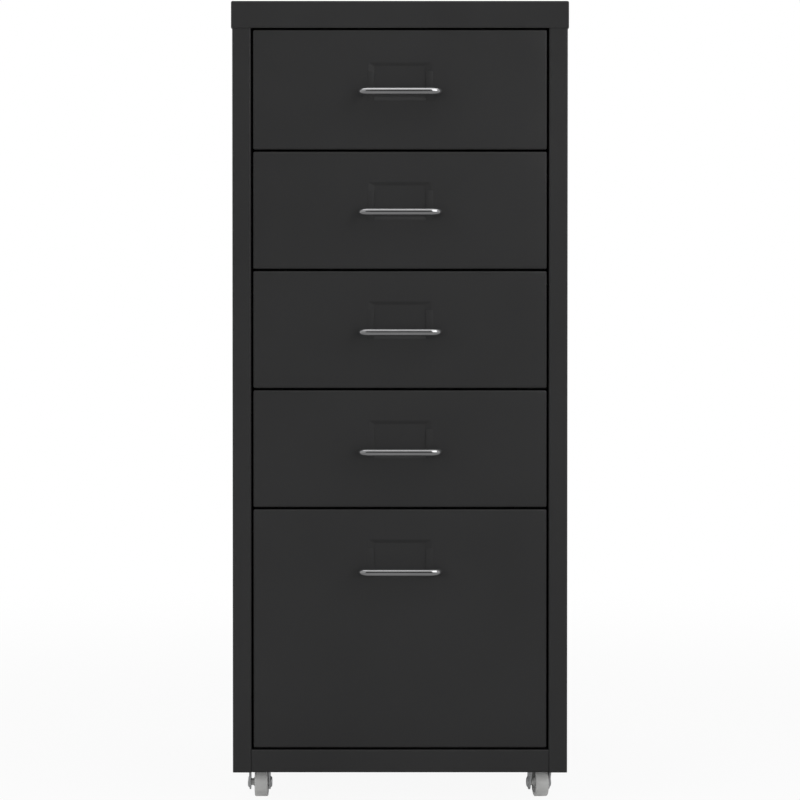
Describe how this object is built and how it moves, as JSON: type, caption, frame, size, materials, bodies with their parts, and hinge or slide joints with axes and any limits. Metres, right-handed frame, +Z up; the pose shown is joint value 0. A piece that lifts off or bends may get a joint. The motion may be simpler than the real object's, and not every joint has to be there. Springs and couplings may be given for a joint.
{
  "type": "chest of drawers",
  "caption": "Tall narrow steel chest on swivel casters, with shallow drawers over a deep one, wire pull handles and stamped label holders.",
  "frame": {"origin": "on the floor under the middle of the whole object, handles and screw heads included", "axes": "+Z up; the drawers open towards -Y; +X is to the right of somebody facing the drawers"},
  "size_m": [0.2868, 0.4384, 0.684],
  "materials": {
    "body_paint": "satin powder coat, very fine texture",
    "handle_chrome": "bright chrome plate",
    "zinc_steel": "bright zinc plate",
    "caster_plastic": "moulded, satin",
    "stop_plastic": "moulded nylon",
    "black_screws": "black zinc plate"
  },
  "bodies": {
    "carcass": {"top_panel": "body_paint", "left_side_panel": "body_paint", "right_side_panel": "body_paint", "back_panel": "body_paint", "bottom_panel": "body_paint", "front_caster_rail": "zinc_steel", "rear_caster_rail": "zinc_steel", "left_runners": "zinc_steel", "right_runners": "zinc_steel", "back_panel_screws": "black_screws", "top_panel_screws": "black_screws", "base_screws": "black_screws", "caster_screws": "zinc_steel", "caster_kingpins": "zinc_steel", "caster_bearing_balls": "zinc_steel", "caster_front_left_plate": "zinc_steel", "caster_front_right_plate": "zinc_steel", "caster_rear_left_plate": "zinc_steel", "caster_rear_right_plate": "zinc_steel"},
    "drawer_1": {"drawer_1_front": "body_paint", "drawer_1_box": "body_paint", "drawer_1_handle": "handle_chrome", "drawer_1_handle_screws": "zinc_steel", "drawer_1_stops": "stop_plastic"},
    "drawer_2": {"drawer_2_front": "body_paint", "drawer_2_box": "body_paint", "drawer_2_handle": "handle_chrome", "drawer_2_handle_screws": "zinc_steel", "drawer_2_stops": "stop_plastic"},
    "drawer_3": {"drawer_3_front": "body_paint", "drawer_3_box": "body_paint", "drawer_3_handle": "handle_chrome", "drawer_3_handle_screws": "zinc_steel", "drawer_3_stops": "stop_plastic"},
    "drawer_4": {"drawer_4_front": "body_paint", "drawer_4_box": "body_paint", "drawer_4_handle": "handle_chrome", "drawer_4_handle_screws": "zinc_steel", "drawer_4_stops": "stop_plastic"},
    "drawer_5": {"drawer_5_front": "body_paint", "drawer_5_box": "body_paint", "drawer_5_handle": "handle_chrome", "drawer_5_handle_screws": "zinc_steel", "drawer_5_stops": "stop_plastic"},
    "caster_front_left": {"caster_front_left_fork": "zinc_steel", "caster_front_left_axle": "zinc_steel"},
    "wheel_front_left": {"caster_front_left_wheel": "caster_plastic"},
    "caster_front_right": {"caster_front_right_fork": "zinc_steel", "caster_front_right_axle": "zinc_steel"},
    "wheel_front_right": {"caster_front_right_wheel": "caster_plastic"},
    "caster_rear_left": {"caster_rear_left_fork": "zinc_steel", "caster_rear_left_axle": "zinc_steel"},
    "wheel_rear_left": {"caster_rear_left_wheel": "caster_plastic"},
    "caster_rear_right": {"caster_rear_right_fork": "zinc_steel", "caster_rear_right_axle": "zinc_steel"},
    "wheel_rear_right": {"caster_rear_right_wheel": "caster_plastic"}
  },
  "joints": [
    {"name": "drawer_1_slide", "type": "slide", "parent": "carcass", "child": "drawer_1", "axis": [0, -1, 0], "range_m": [0, 0.275]},
    {"name": "drawer_2_slide", "type": "slide", "parent": "carcass", "child": "drawer_2", "axis": [0, -1, 0], "range_m": [0, 0.275]},
    {"name": "drawer_3_slide", "type": "slide", "parent": "carcass", "child": "drawer_3", "axis": [0, -1, 0], "range_m": [0, 0.275]},
    {"name": "drawer_4_slide", "type": "slide", "parent": "carcass", "child": "drawer_4", "axis": [0, -1, 0], "range_m": [0, 0.275]},
    {"name": "drawer_5_slide", "type": "slide", "parent": "carcass", "child": "drawer_5", "axis": [0, -1, 0], "range_m": [0, 0.275]},
    {"name": "caster_front_left_swivel", "type": "hinge", "parent": "carcass", "child": "caster_front_left", "pos_m": [-0.1215, -0.146, 0.0305], "axis": [0, 0, 1], "continuous": true},
    {"name": "wheel_front_left_spin", "type": "hinge", "parent": "caster_front_left", "child": "wheel_front_left", "pos_m": [-0.1215, -0.137, 0.0125], "axis": [1, 0, 0], "continuous": true},
    {"name": "caster_front_right_swivel", "type": "hinge", "parent": "carcass", "child": "caster_front_right", "pos_m": [0.1215, -0.146, 0.0305], "axis": [0, 0, 1], "continuous": true},
    {"name": "wheel_front_right_spin", "type": "hinge", "parent": "caster_front_right", "child": "wheel_front_right", "pos_m": [0.1204, -0.13707, 0.0125], "axis": [0.9925, 0.1219, 0], "continuous": true},
    {"name": "caster_rear_left_swivel", "type": "hinge", "parent": "carcass", "child": "caster_rear_left", "pos_m": [-0.1215, 0.172, 0.0305], "axis": [0, 0, 1], "continuous": true},
    {"name": "wheel_rear_left_spin", "type": "hinge", "parent": "caster_rear_left", "child": "wheel_rear_left", "pos_m": [-0.12072, 0.18097, 0.0125], "axis": [0.9962, -0.0872, 0], "continuous": true},
    {"name": "caster_rear_right_swivel", "type": "hinge", "parent": "carcass", "child": "caster_rear_right", "pos_m": [0.1215, 0.172, 0.0305], "axis": [0, 0, 1], "continuous": true},
    {"name": "wheel_rear_right_spin", "type": "hinge", "parent": "caster_rear_right", "child": "wheel_rear_right", "pos_m": [0.12087, 0.18098, 0.0125], "axis": [0.9976, 0.0698, 0], "continuous": true}
  ]
}
